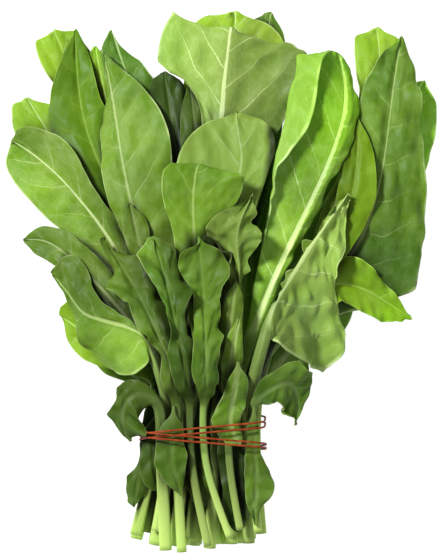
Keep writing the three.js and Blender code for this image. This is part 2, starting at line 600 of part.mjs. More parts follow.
// These lie over all the stalks.
const CAUGHT_OVER = [
  { name: 'caught_leaf_5', tone: 'leaf_deep', small: true,
    rib: [[-15, 14, 47], [-15, 9, 47], [-16, 0, 47], [-16, -14, 45], [-11, -31, 40]],
    left: [[-10, 6], [-10, -2], [-8, -14], [-8, -26]],
    right: [[-21, 6], [-24, -2], [-24, -15], [-18, -24]] },
  { name: 'caught_leaf_6', tone: 'leaf_green', small: true,
    rib: [[17, 36, 56], [17, 33, 56], [15, 20, 52], [13, 6, 48], [18, -6, 47]],
    left: [[22, 31], [21, 18], [18, 7], [20, -3]],
    right: [[12, 30], [10, 18], [4, 7], [11, -4]] },
  { name: 'caught_leaf_7', tone: 'leaf_green', small: true,
    rib: [[25, 14, 39], [25, 9, 39], [25, -2, 39], [26, -24, 38], [25, -46, 35]],
    left: [[28, 6], [28, -10], [34, -26, -2], [29, -36]],
    right: [[21, 6], [20, -8], [19, -26], [20, -38]] },
];

// Putting the bunch together.

const bunch = new THREE.Group();
const pile = new Pile();
const inTheTie = [];

function addSolid(name, geometry, slot) {
  const solid = new THREE.Mesh(geometry, new THREE.MeshStandardMaterial({ ...COLOURS[slot], metalness: 0 }));
  solid.name = name;
  bunch.add(solid);
}

function addLeaf(spec, points, bladePoint, straightPoints, liftable) {
  const rings = leafRings(spec, leafSheet(spec, points, bladePoint, straightPoints));
  pressFlat(rings);
  const skin = rings.flat();
  const triangles = skinTriangles(rings.length, rings[0].length);
  settle(skin, triangles, pile, liftable);
  for (const [i, j, k] of triangles) {
    const face = [skin[i], skin[j], skin[k]];
    if (flatArea(...face) > LEAST_AREA) pile.add(face);
  }
  inTheTie.push(...skin.filter((p) => Math.abs(p.y) <= TIE_HALF_LENGTH && Math.abs(p.x) < TIE_HALF_WIDTH));
  const geometry = new THREE.BufferGeometry().setFromPoints(skin).setIndex(triangles.flat());
  geometry.computeVertexNormals();
  addSolid(spec.name, geometry, spec.tone);
}

// The stalks fill the tie row by row from the table up. In each row they stand, from left to right, in
// the order in which their blades spread.
function tieSlots(leaves) {
  const random = randomSource(SEEDS.tie);
  const slots = new Map();
  const bearing = ({ rib }) => {
    const [x, y] = rib[Math.floor(rib.length / 2)];
    return Math.atan2(x, y - TIE_HALF_LENGTH);
  };
  let taken = 0;
  TIE_ROWS.forEach((count, row) => {
    const inRow = leaves.slice(taken, taken + count).sort((a, b) => bearing(a) - bearing(b));
    const isTop = row === TIE_ROWS.length - 1;
    const evenShift = row % 2 ? ROW_SHIFT : -ROW_SHIFT;
    const left = (isTop ? 0 : evenShift) - ((inRow.length - 1) / 2) * STALK_PITCH;
    const z = LOWEST_ROW_HEIGHT + row * ROW_PITCH + (isTop ? CAUGHT_LAYER : 0);
    inRow.forEach((spec, place) => {
      const x = left + place * STALK_PITCH + STALK_JITTER * (random() - 0.5);
      slots.set(spec, new THREE.Vector3(spec.tie ?? x, 0, z));
    });
    taken += count;
  });
  return slots;
}

// The rows of stalks fan out beyond the tie: the lowest sinks to the table, the highest rises, and all
// of them droop towards the sides and the tips.
function fanHeight(slot, x, y) {
  const open = FAN_FLOOR + (slot.z - LOWEST_ROW_HEIGHT) * FAN_RISE;
  const sideDroop = 1 - SIDE_DROOP * (x / FAN_REACH) ** 2;
  const tipDroop = 1 - TIP_DROOP * smoothStep(0.5, 1, y / FAN_REACH / 2);
  const fanned = smoothStep(TIE_HALF_LENGTH, FAN_LENGTH, Math.hypot(x, y));
  return mix(slot.z, open * sideDroop * tipDroop, fanned);
}

function layTiedLeaf(spec, slot, index) {
  const random = randomSource(SEEDS.stalk + index);
  const jitter = (size) => size * (random() - 0.5);
  const [footX, footY] = spec.foot ?? [
    slot.x * STALK_SPREAD + CUT_SHIFT + jitter(CUT_JITTER.across),
    -STALK_LENGTH_BELOW + jitter(CUT_JITTER.along) + CUT_BOW * slot.x ** 2,
  ];
  const points = [
    new THREE.Vector3(footX, footY, slot.z - STALK_SAG),
    new THREE.Vector3(slot.x, -TIE_HALF_LENGTH, slot.z),
    slot.clone(),
    new THREE.Vector3(slot.x, TIE_HALF_LENGTH, slot.z),
    ...spec.rib.map(([x, y, up = 0]) => new THREE.Vector3(x, y, fanHeight(slot, x, y) + up)),
  ];
  const [stiffTo, freeFrom] = [TIE_HALF_LENGTH + TIE_SLACK, TIE_HALF_LENGTH + STIFF_LENGTH];
  const liftable = (p) => smoothStep(stiffTo, freeFrom, Math.abs(p.y));
  addLeaf({ ...spec, seed: SEEDS.tied + index }, points, 4, [1, 3], liftable);
}

function layCaughtLeaf(spec, index) {
  const points = spec.rib.map((p) => new THREE.Vector3(...p));
  addLeaf({ ...spec, stalk: CAUGHT_STALK, seed: SEEDS.caught + index }, points, 1, [], () => 1);
}

// The rubber bands.

// The tight line round everything in the tie, at even steps, seen along the stalks: right side first,
// then over the top.
function girth(points, away, steps) {
  const outline = [];
  for (let bearing = 0; bearing < 360; bearing++) {
    const [dx, dz] = [Math.cos(degrees(bearing)), Math.sin(degrees(bearing))];
    const far = points.reduce((a, b) => (a.x * dx + a.z * dz > b.x * dx + b.z * dz ? a : b));
    outline.push(new THREE.Vector3(far.x + away * dx, 0, far.z + away * dz));
  }
  const line = smoothCurve([...outline, outline[0]]);
  return Array.from({ length: steps }, (_, i) => line.getPointAt(i / steps));
}

// A band goes round twice. On the right its two turns stand apart, and on the left they cross, one on
// the other.
function addBand(name, shift, rise) {
  const turn = BAND_STEPS / 2;
  const inner = girth(inTheTie, BAND_RADIUS + BAND_GAP, turn);
  const outer = girth(inTheTie, 3 * BAND_RADIUS + 2 * BAND_GAP, turn);
  const points = Array.from({ length: BAND_STEPS }, (_, i) => {
    const round = (i / turn) * Math.PI;
    const p = inner[i % turn].clone().lerp(outer[i % turn], (1 - Math.sin(round)) / 2);
    p.y = shift + (rise * Math.asin(BAND_BEND * Math.cos(round + BAND_LEAD))) / Math.asin(BAND_BEND);
    return p;
  });
  const line = new THREE.CatmullRomCurve3(points, true, 'centripetal');
  addSolid(name, new THREE.TubeGeometry(line, BAND_STEPS, BAND_RADIUS, BAND_SIDES, true), 'rubber_band');
}

// Laying it all down.

const tiedLeaves = [...BED.map(bedLeaf), ...LAID_LEAVES];
const slots = tieSlots(tiedLeaves);
const topRowFrom = tiedLeaves.length - TIE_ROWS[TIE_ROWS.length - 1];
tiedLeaves.forEach((spec, index) => {
  if (index === topRowFrom) CAUGHT_UNDER.forEach(layCaughtLeaf);
  layTiedLeaf(spec, slots.get(spec), index);
});
CAUGHT_OVER.forEach((spec, index) => layCaughtLeaf(spec, CAUGHT_UNDER.length + index));
for (const [name, shift, rise] of BANDS) addBand(name, shift, rise);

// The bunch stands over the middle of its own outline, on the table.
const extent = new THREE.Box3().setFromObject(bunch);
const middle = extent.getCenter(new THREE.Vector3());
for (const solid of bunch.children) solid.geometry.translate(-middle.x, -middle.y, -extent.min.z);

export default bunch;
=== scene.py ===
"""A bunch of broad-leaved spinach that lies on a pale table, tied with two red-brown rubber bands.

Metres. +X is to the right across the bunch, +Y runs from the cut stalks to the leaf tips, +Z is up.
Each leaf of the frame is grown again as a finer leaf on the same form, with ruffles and puckers; its
veins, stalk and colours follow its own lengthwise and crosswise measures, which its points carry.
Its colour also carries painted light and shade: a brightness for each leaf and its parts, and
painted shade where other leaves lie close over it.
"""

import json
import math
import random

import bmesh
import bpy
import numpy as np
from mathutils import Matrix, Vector
from mathutils.bvhtree import BVHTree


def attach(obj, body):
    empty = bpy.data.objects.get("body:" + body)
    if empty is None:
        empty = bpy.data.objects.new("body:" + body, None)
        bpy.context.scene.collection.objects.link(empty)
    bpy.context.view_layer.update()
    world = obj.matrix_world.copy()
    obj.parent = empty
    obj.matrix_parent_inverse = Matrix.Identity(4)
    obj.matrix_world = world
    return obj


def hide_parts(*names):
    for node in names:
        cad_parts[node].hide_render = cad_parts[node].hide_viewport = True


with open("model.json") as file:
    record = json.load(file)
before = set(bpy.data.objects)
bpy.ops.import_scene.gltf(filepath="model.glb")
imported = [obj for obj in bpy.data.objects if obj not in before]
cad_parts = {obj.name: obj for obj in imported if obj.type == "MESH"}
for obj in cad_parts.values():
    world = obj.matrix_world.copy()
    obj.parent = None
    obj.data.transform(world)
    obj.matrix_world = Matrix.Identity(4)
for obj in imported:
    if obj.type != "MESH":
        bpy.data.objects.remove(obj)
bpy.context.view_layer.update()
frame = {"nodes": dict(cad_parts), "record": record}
scene = bpy.context.scene
MM = 0.001
WHITE = (1, 1, 1, 1)

# Camera: it looks straight down, with the cut stalks at the foot of the picture.

EYE_HEIGHT = 2.5
LEAF_HEIGHT = 0.03
PICTURE_HEIGHT = 0.28
PICTURE_MIDDLE = (0.00068, -0.00012)
SENSOR = 36

camera_data = bpy.data.cameras.new("camera")
camera_data.sensor_width = SENSOR
camera_data.lens = SENSOR * (EYE_HEIGHT - LEAF_HEIGHT) / PICTURE_HEIGHT
camera_data.clip_end = 20
camera = bpy.data.objects.new("camera", camera_data)
camera.location = (*PICTURE_MIDDLE, EYE_HEIGHT)
scene.collection.objects.link(camera)
scene.camera = camera


# Shader nodes


class Tree:
    """Adds shader nodes to a material or a group and joins them."""

    def __init__(self, tree):
        self.nodes = tree.nodes
        self.links = tree.links

    def feed(self, socket, value):
        if isinstance(value, bpy.types.NodeSocket):
            self.links.new(value, socket)
        else:
            socket.default_value = value

    def add(self, kind, inputs=(), **settings):
        """inputs holds (socket name or number, value or socket) pairs."""
        node = self.nodes.new(kind)
        for name, value in settings.items():
            setattr(node, name, value)
        for key, value in inputs:
            self.feed(node.inputs[key], value)
        return node

    def math(self, operation, *values):
        return self.add("ShaderNodeMath", enumerate(values), operation=operation).outputs[0]

    def ease(self, value, low, high, to_low=0.0, to_high=1.0):
        """value, eased from to_low at low to to_high at high."""
        numbers = (value, low, high, to_low, to_high)
        names = ("Value", "From Min", "From Max", "To Min", "To Max")
        node = self.add("ShaderNodeMapRange", zip(names, numbers), interpolation_type="SMOOTHSTEP")
        return node.outputs["Result"]

    def mix(self, share, first, second, blend_type="MIX"):
        """Of the mix node's inputs, 0 is the share, 6 and 7 are the colours."""
        node = self.add("ShaderNodeMix", ((0, share), (6, first), (7, second)), data_type="RGBA")
        node.blend_type = blend_type
        return node.outputs[2]

    def times(self, colour, brightness):
        grey = self.vector(brightness, brightness, brightness)
        return self.mix(1.0, colour, grey, "MULTIPLY")

    def vector(self, x, y, z=0.0):
        return self.add("ShaderNodeCombineXYZ", enumerate((x, y, z))).outputs[0]

    def mix_number(self, share, first, second):
        return self.add("ShaderNodeMix", ((0, share), (2, first), (3, second))).outputs[0]

    def attribute(self, name):
        """The three numbers that the surface's points carry under this name."""
        given = self.add("ShaderNodeAttribute", attribute_name=name)
        return self.add("ShaderNodeSeparateXYZ", ((0, given.outputs["Vector"]),)).outputs[:]

    def noise(self, where, scale, detail=2.0):
        inputs = (("Vector", where), ("Scale", scale), ("Detail", detail))
        return self.add("ShaderNodeTexNoise", inputs).outputs["Fac"]


def new_group(name, inputs, outputs):
    """A shader node group with its two ends. inputs and outputs hold (name, kind, default) triples."""
    group = bpy.data.node_groups.new(name, "ShaderNodeTree")
    for direction, sockets in (("INPUT", inputs), ("OUTPUT", outputs)):
        for socket_name, kind, default in sockets:
            kind = f"NodeSocket{kind}"
            socket = group.interface.new_socket(socket_name, in_out=direction, socket_type=kind)
            if default is not None:
                socket.default_value = default
    tree = Tree(group)
    return group, tree, tree.add("NodeGroupInput"), tree.add("NodeGroupOutput")


VEIN_SPACING = 19.0  # millimetres
BEND_SCALE = 0.06  # slow noise that fades side veins, in waves for each millimetre
SHIVER_SCALE = 0.3  # quick noise that lets veins tremble
NET_SCALE = 0.42


def leaf_veins_group():
    """The veins of a leaf, from its own measures in millimetres: the midrib, the side veins that branch
    off it towards the tip, and the fine net between them. Step counts the side veins."""
    group, tree, given, result = new_group(
        "leaf veins",
        (("Across", "Float", 0.0), ("Along", "Float", 0.0), ("Out", "Float", 0.0), ("Seed", "Float", 0.0),
         ("Step", "Float", 0.0), ("Rib Width", "Float", 1.0), ("Spacing", "Float", VEIN_SPACING)),
        (("Rib", "Float", None), ("Branches", "Float", None), ("Net", "Float", None)),
    )
    across, along, out, seed, step, rib_width, spacing = (given.outputs[i] for i in range(7))
    place = tree.vector(across, along, tree.math("MULTIPLY", seed, 40.0))
    bend = tree.math("SUBTRACT", tree.noise(place, BEND_SCALE), 0.5)
    shiver = tree.math("SUBTRACT", tree.noise(place, SHIVER_SCALE), 0.5)

    thin = tree.math("MULTIPLY", tree.ease(along, -10.0, 90.0, 1.9, 0.5), rib_width)
    away = tree.math("ABSOLUTE", across)
    rib_edge = tree.math("SUBTRACT", away, tree.math("MULTIPLY", shiver, 0.5))
    rib = tree.ease(tree.math("DIVIDE", rib_edge, thin), 0.45, 1.25, 1.0, 0.0)

    step = tree.math("ADD", step, tree.math("MULTIPLY", shiver, 0.1))
    off = tree.math("ABSOLUTE", tree.math("SUBTRACT", tree.math("FRACT", step), 0.5))
    off = tree.math("MULTIPLY", off, spacing)
    branch_width = tree.ease(out, 0.0, 1.0, 0.6, 0.25)
    branches = tree.ease(tree.math("DIVIDE", off, branch_width), 0.3, 1.5, 1.0, 0.0)
    branches = tree.math("MULTIPLY", branches, tree.ease(out, 0.5, 0.95, 1.0, 0.1))
    branches = tree.math("MULTIPLY", branches, tree.ease(bend, -0.12, 0.12, 0.35, 1.0))

    squeezed = ((0, place), (1, (0.55, 0.4, 1.0)))
    tangle = tree.add("ShaderNodeVectorMath", squeezed, operation="MULTIPLY").outputs[0]
    lean = tree.vector(tree.math("MULTIPLY", bend, 3.0), tree.math("MULTIPLY", shiver, 2.5))
    tangle = tree.add("ShaderNodeVectorMath", ((0, tangle), (1, lean)), operation="ADD").outputs[0]
    net_inputs = (("Vector", tangle), ("Scale", NET_SCALE))
    cells = tree.add("ShaderNodeTexVoronoi", net_inputs, feature="DISTANCE_TO_EDGE")
    net = tree.ease(cells.outputs["Distance"], 0.01, 0.11, 1.0, 0.0)

    for name, value in (("Rib", rib), ("Branches", branches), ("Net", net)):
        tree.feed(result.inputs[name], value)
    return group


LEAF_VEINS = leaf_veins_group()


# SUNNY: a yellower, fresher green, partly the leaf's own tint and partly painted glow where light comes
# through it.
SUNNY = (0.95, 1.15, 0.4, 1)  # a young leaf's tint
COOL = (0.95, 0.99, 1.22, 1)  # the tint of its bluish patches
# Painted shade, from how open each point lies: the openness at which it is darkest and at which it ends,
# and the brightness it leaves where it is darkest.
SHUT_AND_OPEN = (0.3, 0.88)  # how open a leaf lies where it is darkest and where it is lightest
DARKEST_PAINTED_SHADE = 0.12  # its brightness where it is darkest
STALK_UPPER = (0.36, 0.59, 0.11, 1)
STALK_LOWER = (0.62, 0.84, 0.21, 1)
STALK_STREAK = (0.62, 0.86, 0.28, 1)
EDGE_ON = (-0.1, 0.1)  # face is 1 on the upper side and -1 on the underside: the change between them

# Scales of the noise on the leaves, in waves for each metre
COOL_SCALE = 21.0
PATCH_SCALE = 26.0
RIM_SCALE = 70.0
MOTTLE_SCALE = 170.0
PORE_SCALE = 420.0


def blade_colour(tree, colours, veins, position, mottle, face, out, sunny, pucker):
    upper, deep, under, vein = colours
    rib, branches, net = veins
    patches = tree.ease(tree.noise(position, PATCH_SCALE, 4.0), 0.36, 0.64)
    top_face = tree.mix(patches, upper, deep)
    top_face = tree.mix(tree.ease(mottle, 0.35, 0.7, 0.0, 0.1), top_face, vein)
    under_face = tree.mix(tree.math("MULTIPLY", patches, 0.4), under, upper)
    blade = tree.mix(tree.ease(face, *EDGE_ON), under_face, top_face)
    blade = tree.mix(tree.math("MULTIPLY", net, 0.08), blade, vein)
    seen_branches = tree.math("MULTIPLY", branches, tree.ease(face, *EDGE_ON, 0.6, 0.42))
    blade = tree.mix(seen_branches, blade, vein)
    blade = tree.mix(tree.ease(pucker, 0.2, 0.9, 0.0, 0.22), blade, deep)
    # Pale, broken rims along the margins: painted light where a margin catches the light, and the pale
    # underside where it curls over.
    broken = tree.ease(tree.noise(position, RIM_SCALE, 1.0), 0.42, 0.58, 0.25, 1.0)
    rim = tree.math("MULTIPLY", tree.ease(out, 0.955, 0.99, 0.0, 0.65), broken)
    blade = tree.mix(rim, blade, vein)
    blade = tree.mix(tree.math("MULTIPLY", rib, 0.9), blade, vein)
    cool = tree.ease(tree.noise(position, COOL_SCALE, 3.0), 0.45, 0.7)
    for share, tint in ((cool, COOL), (sunny, SUNNY)):
        blade = tree.mix(1.0, blade, tree.mix(share, WHITE, tint), "MULTIPLY")
    return blade


def stalk_colour(tree, across, along, light, seed):
    """Green near the blade, where it takes the leaf's painted light and shade, pale towards the cut end,
    and streaked lengthwise.
    """
    upper_light = tree.ease(light, 0.4, 1.3, 0.3, 1.0)
    pale = tree.ease(along, -70.0, -20.0, 1.0, 0.0)
    stalk = tree.mix(pale, tree.times(STALK_UPPER, upper_light), STALK_LOWER)
    streaked = tree.vector(tree.math("MULTIPLY", across, 1.4), tree.math("MULTIPLY", along, 0.03), seed)
    streaks = tree.ease(tree.noise(streaked, 1.0), 0.4, 0.65, 0.0, 0.4)
    stalk = tree.mix(tree.math("MULTIPLY", streaks, upper_light), stalk, STALK_STREAK)
    return tree.times(stalk, tree.ease(seed, 0.0, 0.7, 0.68, 1.05))


def leaf_bump(tree, veins, position, face):
    """Veins lie in grooves on the upper side and stand out on the underside. Pores lie over both."""
    rib, branches, net = veins
    relief = tree.math("ADD", tree.math("MULTIPLY", rib, 0.5), tree.math("MULTIPLY", branches, 0.45))
    relief = tree.math("ADD", relief, tree.math("MULTIPLY", net, 0.1))
    relief = tree.math("MULTIPLY", relief, tree.ease(face, *EDGE_ON, 1.0, -1.0))
    pores = tree.math("MULTIPLY", tree.noise(position, PORE_SCALE), 0.3)
    inputs = (("Height", tree.math("ADD", relief, pores)), ("Distance", 0.6 * MM), ("Strength", 0.6))
    return tree.add("ShaderNodeBump", inputs).outputs[0]


def leaf_material(name, upper, deep, under, vein, glow, through):
    """A living leaf: satin, thin enough for light to come through, paler underneath. deep is the upper
    colour's darker patches, and glow is how much light comes through in the colour through. Its colour
    also carries painted light and shade: a brightness for each leaf and its parts, and painted shade
    where other leaves lie close over it."""
    material = bpy.data.materials.new(name)
    material.use_nodes = True
    tree = Tree(material.node_tree)
    tree.nodes.clear()
    across, along, out = tree.attribute("measures")
    face, light, seed = tree.attribute("looks")
    veining, sunny, free = tree.attribute("tints_and_shade")
    step, rib_width, pucker = tree.attribute("pattern")
    pattern = tree.add("ShaderNodeGroup", node_tree=LEAF_VEINS)
    for socket, value in zip(pattern.inputs, (across, along, out, seed, step, rib_width)):
        tree.feed(socket, value)
    veins = [tree.math("MULTIPLY", strength, veining) for strength in pattern.outputs]

    position = tree.add("ShaderNodeTexCoord").outputs["Object"]
    mottle = tree.noise(position, MOTTLE_SCALE, 3.0)
    colours = (upper, deep, under, vein)
    blade = blade_colour(tree, colours, veins, position, mottle, face, out, sunny, pucker)
    stalk = stalk_colour(tree, across, along, light, seed)
    foot = tree.ease(along, -6.0, 5.0)
    # Painted shade where other leaves lie close over the point, from how open it lies; with each leaf's
    # painted brightness it darkens both the surface and the light coming through.
    painted_shade = tree.ease(free, *SHUT_AND_OPEN, DARKEST_PAINTED_SHADE, 1.0)
    brightness = tree.math("MULTIPLY", tree.mix_number(foot, 1.0, light), painted_shade)
    colour = tree.times(tree.mix(foot, stalk, blade), brightness)

    bumped = leaf_bump(tree, veins, position, face)
    finish = (
        ("Base Color", colour), ("Roughness", tree.ease(mottle, 0.3, 0.7, 0.42, 0.58)),
        ("Specular IOR Level", 0.2), ("Normal", bumped))
    skin = tree.add("ShaderNodeBsdfPrincipled", finish)
    veined = tree.mix(tree.math("MULTIPLY", veins[1], 0.35), through, vein)
    lit = tree.times(tree.mix(foot, stalk, veined), brightness)
    shine = tree.add("ShaderNodeBsdfTranslucent", (("Color", lit), ("Normal", bumped)))
    both = tree.add("ShaderNodeMixShader", ((0, glow), (1, skin.outputs[0]), (2, shine.outputs[0])))
    output = tree.add("ShaderNodeOutputMaterial")
    tree.links.new(both.outputs[0], output.inputs["Surface"])
    return material


# leaf deep is a darker copy of leaf green, partly its own darker green and partly painted shade for
# leaves that lie deep in the bunch.
LEAF_MATERIALS = {
    "leaf_green": leaf_material(
        "leaf green", glow=0.26, through=(0.28, 0.55, 0.02, 1),
        upper=(0.23, 0.41, 0.03, 1), deep=(0.15, 0.3, 0.017, 1),
        under=(0.29, 0.43, 0.085, 1), vein=(0.76, 0.92, 0.38, 1)),
    "leaf_deep": leaf_material(
        "leaf deep", glow=0.2, through=(0.2, 0.42, 0.015, 1),
        upper=(0.145, 0.285, 0.018, 1), deep=(0.08, 0.19, 0.01, 1),
        under=(0.22, 0.35, 0.06, 1), vein=(0.5, 0.66, 0.22, 1)),
    "leaf_bright": leaf_material(
        "leaf bright", glow=0.36, through=(0.56, 0.79, 0.05, 1),
        upper=(0.36, 0.54, 0.045, 1), deep=(0.25, 0.42, 0.025, 1),
        under=(0.4, 0.58, 0.12, 1), vein=(0.72, 0.88, 0.34, 1)),
}


def rubber_material():
    """Dull red-brown rubber, a little worn and dusty."""
    material = bpy.data.materials.new("rubber")
    material.use_nodes = True
    tree = Tree(material.node_tree)
    skin = material.node_tree.nodes["Principled BSDF"]
    position = tree.add("ShaderNodeTexCoord").outputs["Object"]
    wear = tree.noise(position, 300.0, 3.0)
    colour = tree.mix(tree.ease(wear, 0.4, 0.7), (0.25, 0.03, 0.004, 1), (0.38, 0.07, 0.012, 1))
    tree.feed(skin.inputs["Base Color"], colour)
    tree.feed(skin.inputs["Roughness"], tree.ease(wear, 0.3, 0.7, 0.5, 0.7))
    tree.feed(skin.inputs["Specular IOR Level"], 0.25)
    bump = tree.add("ShaderNodeBump", (("Height", wear), ("Distance", 0.1 * MM), ("Strength", 0.4)))
    tree.feed(skin.inputs["Normal"], bump.outputs[0])
    return material


RUBBER = rubber_material()


# Reading the frame's leaves. Such a leaf is a closed skin of cross-sections, each a ring of points that
# runs across the upper side from left to right and back across the underside.

WELD = 0.002 * MM  # points closer than this are one
SAME_PLANE = 0.999  # the least that two faces' normals agree on a flat cut end
CAP_FACES = 6
COLUMNS = {7: (-1, -0.64, -0.3, 0, 0.3, 0.64, 1), 5: (-1, -0.55, 0, 0.55, 1)}
BLADE_RINGS = {7: 11, 5: 9}
FIRST_THIN_RING = 2
MARGIN_CREASE = 0.9
CORNER_BEND = (math.radians(30), math.radians(80))  # a margin's bend that stays round, and a sharp one


def eased(x, low, high):
    share = np.clip((x - low) / (high - low), 0, 1)
    return share * share * (3 - 2 * share)


def cut_end(cage):
    """The flat fan of faces that closes the cut end of the stalk."""
    hubs = sorted(cage.verts, key=lambda v: len(v.link_faces))[-2:]
    fans = []
    for hub in hubs:
        for first in hub.link_faces:
            fans.append([face for face in hub.link_faces if face.normal.dot(first.normal) > SAME_PLANE])
    fans = [fan for fan in fans if len(fan) >= CAP_FACES]
    return max(fans, key=lambda fan: sum(face.calc_area() for face in fan))


def rim_of(level):
    """Each point's two neighbours on the cross-section that these points make up."""
    rim = {}
    for v in level:
        edges = [e for e in v.link_edges if e.other_vert(v) in level]
        outer = [e for e in edges if any(w not in level for face in e.link_faces for w in face.verts)]
        rim[v] = [e.other_vert(v) for e in outer]
    return rim


def around(rim, start, second):
    ring = [start, second]
    while len(ring) < len(rim):
        ring.append(next(v for v in rim[ring[-1]] if v != ring[-2]))
    return ring


def linked(v, level):
    return [e.other_vert(v) for e in v.link_edges if e.other_vert(v) in level]


def cross_sections(cage):
    """The leaf's rings from the cut end to the tip. In each, the points are in order from the left
    margin of the upper side."""
    level = {v for face in cut_end(cage) for v in face.verts}
    seen = set(level)
    levels = []
    while level:
        levels.append(level)
        level = {w for v in level for w in linked(v, {e.other_vert(v) for e in v.link_edges} - seen)}
        seen |= level
    hub = max(levels[0], key=lambda v: len(v.link_faces))
    rim = rim_of(levels[0])
    columns = len(rim) // 2
    trial = around(rim, hub, rim[hub][0])
    if len(linked(trial[columns - 1], levels[1])) != 1:
        trial = around(rim, hub, rim[hub][1])
    rings = [trial]
    for level in levels[1:]:
        rim = rim_of(level)
        over = linked(rings[-1][0], level)
        start = next(v for v in over if all(w in over for w in rim[v]))
        second = next(v for v in rim[start] if rings[-1][1] in linked(v, levels[len(rings) - 1]))
        rings.append(around(rim, start, second))
    return rings


def diagonals_of(cage, rings):
    """The edges that cut the skin's four-sided faces in two."""
    size = len(rings[0])
    diagonals = []
    for ring, after in zip(rings, rings[1:]):
        for k in range(size):
            following = (k + 1) % size
            on_top = k < size // 2 - 1
            ends = (ring[k], after[following]) if on_top else (ring[following], after[k])
            diagonals.append(cage.edges.get(ends))
    return diagonals


def lengths_along(line):
    lengths = [0.0]
    for before, after in zip(line, line[1:]):
        lengths.append(lengths[-1] + (after - before).length)
    return lengths


def crease_edges(cage, rings, blade, crease, corner):
    """Keeps the cut end and the margins of the blade crisp, and a margin pointed where it turns."""
    size = len(rings[0])
    columns = size // 2
    for k in range(size):
        cage.edges.get((rings[0][k], rings[0][(k + 1) % size]))[crease] = 1.0
    for ring, after in zip(blade, blade[1:]):
        for k in (0, columns - 1, columns, size - 1):
            cage.edges.get((ring[k], after[k]))[crease] = MARGIN_CREASE
    for before, ring, after in zip(blade, blade[1:], blade[2:]):
        for k in (0, 1, columns - 2, columns - 1, columns, columns + 1, size - 2, size - 1):
            bend = (ring[k].co - before[k].co).angle(after[k].co - ring[k].co, 0.0)
            ring[k][corner] = eased(bend, *CORNER_BEND)


def leaf_cage(node):
    """A copy of a leaf's solid in four-sided faces. Its points carry how far across and along the leaf
    they are, in millimetres from the foot of the blade, on which side, which way is outward and which
    is up, and how open they lie, from which the material paints shade into the leaf's colour."""
    cage = bmesh.new()
    cage.from_mesh(node.data)
    measures = cage.verts.layers.float_vector.new("measures")
    outward = cage.verts.layers.float_vector.new("outward")
    upward = cage.verts.layers.float_vector.new("upward")
    face = cage.verts.layers.float.new("face")
    free = cage.verts.layers.float.new("open")
    crease = cage.edges.layers.float.new("crease_edge")
    corner = cage.verts.layers.float.new("crease_vert")
    bmesh.ops.remove_doubles(cage, verts=cage.verts, dist=WELD)
    bmesh.ops.recalc_face_normals(cage, faces=cage.faces)
    rings = cross_sections(cage)
    diagonals = diagonals_of(cage, rings)
    last = len(rings[0]) - 1
    columns = len(rings[0]) // 2
    middle = columns // 2
    sheets = [[(ring[j].co + ring[last - j].co) / 2 for j in range(columns)] for ring in rings]
    lengths = lengths_along([sheet[middle] for sheet in sheets])
    foot = lengths[-BLADE_RINGS[columns]]
    for i, (ring, sheet) in enumerate(zip(rings, sheets)):
        before, after = sheets[max(i - 1, 0)], sheets[min(i + 1, len(sheets) - 1)]
        for j in range(columns):
            step = 1 if j > middle else -1
            across = step * sum((sheet[n + step] - sheet[n]).length for n in range(middle, j, step))
            rightward = (sheet[min(j + 1, columns - 1)] - sheet[max(j - 1, 0)]).normalized()
            for v, side in ((ring[j], 1), (ring[last - j], -1)):
                v[measures] = (across / MM, (lengths[i] - foot) / MM, abs(COLUMNS[columns][j]))
                v[outward] = rightward * ((j > middle) - (j < middle))
                v[upward] = rightward.cross(after[j] - before[j]).normalized()
                v[face] = side
                v[free] = openness(v.co, v.normal)
    crease_edges(cage, rings, rings[FIRST_THIN_RING - BLADE_RINGS[columns]:], crease, corner)
    bmesh.ops.dissolve_edges(cage, edges=diagonals, use_verts=False)
    return cage


# How open each part of the bunch lies: rays go out from it on all sides and count as free where they
# meet no other leaf nearby. The leaves' colour is darkened where this is low: painted shade where
# other leaves lie close over them.

RAY_COUNT = 14
RAY_REACH = 30 * MM
RAY_START = 0.6 * MM
GOLDEN_ANGLE = math.pi * (3 - math.sqrt(5))


def search_tree(without=None):
    """A search tree of the frame's solids, all of them or all but one."""
    solids = bmesh.new()
    for name, node in frame["nodes"].items():
        if name != without:
            solids.from_mesh(node.data)
    tree = BVHTree.FromBMesh(solids)
    solids.free()
    return tree


BUNCH = search_tree()


def openness(place, normal):
    """The share of the rays out of this point that are free, from 0 to 1."""
    turn = normal.to_track_quat("Z", "Y")
    free = 0.0
    for i in range(RAY_COUNT):
        height = math.sqrt(1 - (i + 0.5) / RAY_COUNT)
        out = math.sqrt(1 - height * height)
        ray = turn @ Vector((out * math.cos(i * GOLDEN_ANGLE), out * math.sin(i * GOLDEN_ANGLE), height))
        distance = BUNCH.ray_cast(place + normal * RAY_START, ray, RAY_REACH)[3]
        free += 1.0 if distance is None else distance / RAY_REACH
    return free / RAY_COUNT


# Growing the finer leaves

FINE = 3  # rounds of subdivision
COARSE = 2  # of the leaves that are hidden beneath
BAND_ROUNDS = 2
SHARP = math.radians(60)

# These are in millimetres, or are shares and counts.
CRINKLE_WAVES = 9
CRINKLE_PITCH = (9, 30)
MARGIN_WAVES = ((1.0, 1.0, 1.0), (0.6, 1.73, 2.1), (0.35, 3.1, 1.0))  # height, rate and shift
LOBE_STEPS = (0.25, 0.6)  # of the margin's pitch
BRANCH_SLANT = 0.75  # how steeply the side veins run towards the tip
BRANCH_CURVE = 0.01
BRANCH_WANDER = 2.2
BRANCH_STAGGER = 0.45  # by which the right side's veins stand later than the left's, in steps
BLADE_START = (2, 22)  # where the ruffles start, and where they are at their full height
TIP_LENGTH = 12
WIDENING = (0, 8)  # where a widened margin starts to go out, and where it is fully out
HALF_THICKNESS = 0.35  # of a blade
LEAST_GAP = 0.1
ROOM_REACH = 14
ROOM_SLOPE = 0.35
ROOM_PASSES = 10


